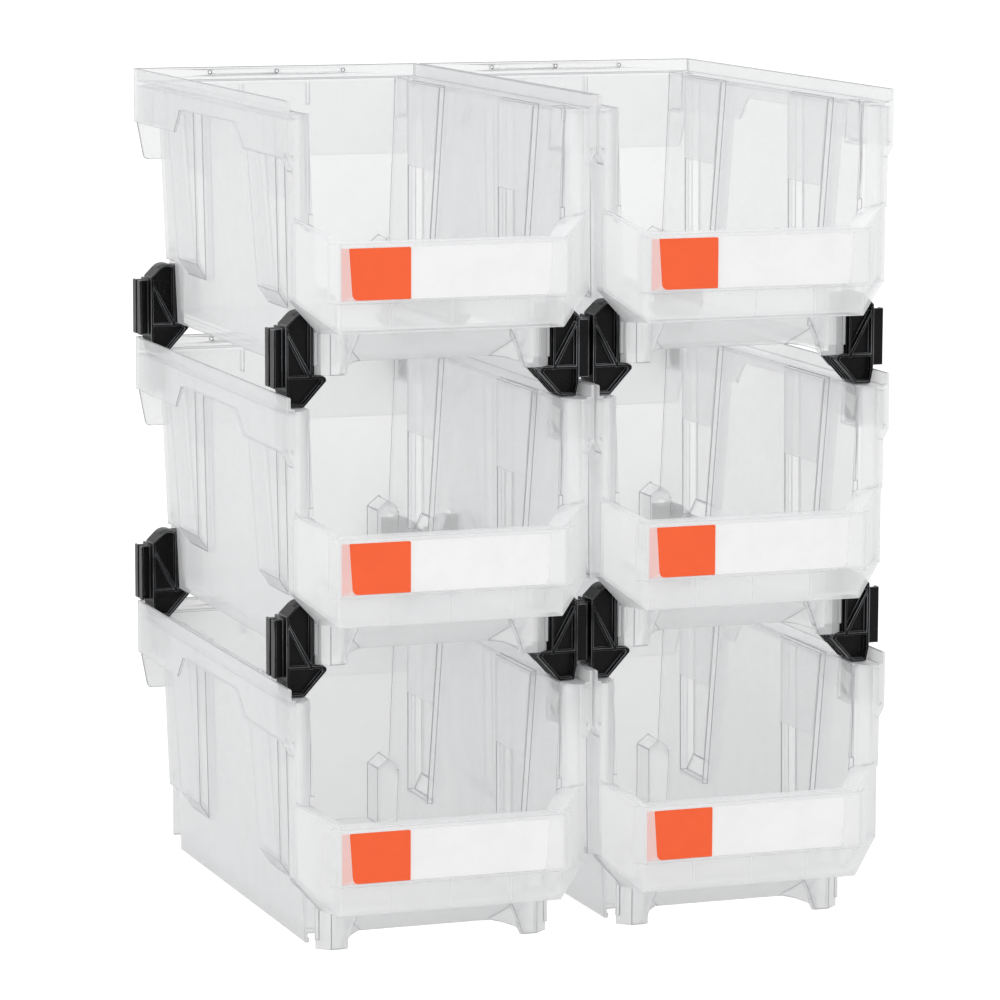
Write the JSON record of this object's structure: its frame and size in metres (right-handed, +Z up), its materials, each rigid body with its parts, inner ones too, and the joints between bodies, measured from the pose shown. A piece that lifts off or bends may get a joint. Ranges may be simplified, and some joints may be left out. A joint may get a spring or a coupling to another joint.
{
  "type": "stacking storage crate set",
  "caption": "Clear hopper-front storage crates stacked in columns and coupled by black corner clips, with label cards and colour tabs.",
  "frame": {"origin": "centre of the stack on the surface it stands on", "axes": "+X to the right across the two columns, +Y from the low fronts to the backs, +Z up"},
  "size_m": [0.424, 0.3822, 0.5534],
  "materials": {
    "shell": "frosted clear polypropylene",
    "clip": "satin black moulded plastic",
    "card": "white card",
    "tab": "orange card"
  },
  "bodies": {
    "bottom_row": {"crate_bottom_left": "shell", "crate_bottom_right": "shell", "clip_low_left_front_out": "clip", "clip_low_left_front_in": "clip", "clip_low_left_rear_out": "clip", "clip_low_left_rear_in": "clip", "clip_low_right_front_out": "clip", "clip_low_right_front_in": "clip", "clip_low_right_rear_out": "clip", "clip_low_right_rear_in": "clip"},
    "middle_row": {"crate_middle_left": "shell", "crate_middle_right": "shell", "clip_high_left_front_out": "clip", "clip_high_left_front_in": "clip", "clip_high_left_rear_out": "clip", "clip_high_left_rear_in": "clip", "clip_high_right_front_out": "clip", "clip_high_right_front_in": "clip", "clip_high_right_rear_out": "clip", "clip_high_right_rear_in": "clip"},
    "top_left": {"crate_top_left": "shell"},
    "top_right": {"crate_top_right": "shell"},
    "label_bottom_left": {"card_bottom_left": "card", "tab_bottom_left": "tab"},
    "label_bottom_right": {"card_bottom_right": "card", "tab_bottom_right": "tab"},
    "label_middle_left": {"card_middle_left": "card", "tab_middle_left": "tab"},
    "label_middle_right": {"card_middle_right": "card", "tab_middle_right": "tab"},
    "label_top_left": {"card_top_left": "card", "tab_top_left": "tab"},
    "label_top_right": {"card_top_right": "card", "tab_top_right": "tab"}
  },
  "joints": [
    {"name": "middle_row_lift", "type": "slide", "parent": "bottom_row", "child": "middle_row", "axis": [0, 0, 1], "range_m": [0, 0.08]},
    {"name": "top_left_lift", "type": "slide", "parent": "middle_row", "child": "top_left", "axis": [0, 0, 1], "range_m": [0, 0.08]},
    {"name": "top_right_lift", "type": "slide", "parent": "middle_row", "child": "top_right", "axis": [0, 0, 1], "range_m": [0, 0.08]},
    {"name": "label_bottom_left_slide", "type": "slide", "parent": "bottom_row", "child": "label_bottom_left", "axis": [0, 0, 1], "range_m": [0, 0.045]},
    {"name": "label_bottom_right_slide", "type": "slide", "parent": "bottom_row", "child": "label_bottom_right", "axis": [0, 0, 1], "range_m": [0, 0.045]},
    {"name": "label_middle_left_slide", "type": "slide", "parent": "middle_row", "child": "label_middle_left", "axis": [0, 0, 1], "range_m": [0, 0.045]},
    {"name": "label_middle_right_slide", "type": "slide", "parent": "middle_row", "child": "label_middle_right", "axis": [0, 0, 1], "range_m": [0, 0.045]},
    {"name": "label_top_left_slide", "type": "slide", "parent": "top_left", "child": "label_top_left", "axis": [0, 0, 1], "range_m": [0, 0.045]},
    {"name": "label_top_right_slide", "type": "slide", "parent": "top_right", "child": "label_top_right", "axis": [0, 0, 1], "range_m": [0, 0.045]}
  ]
}
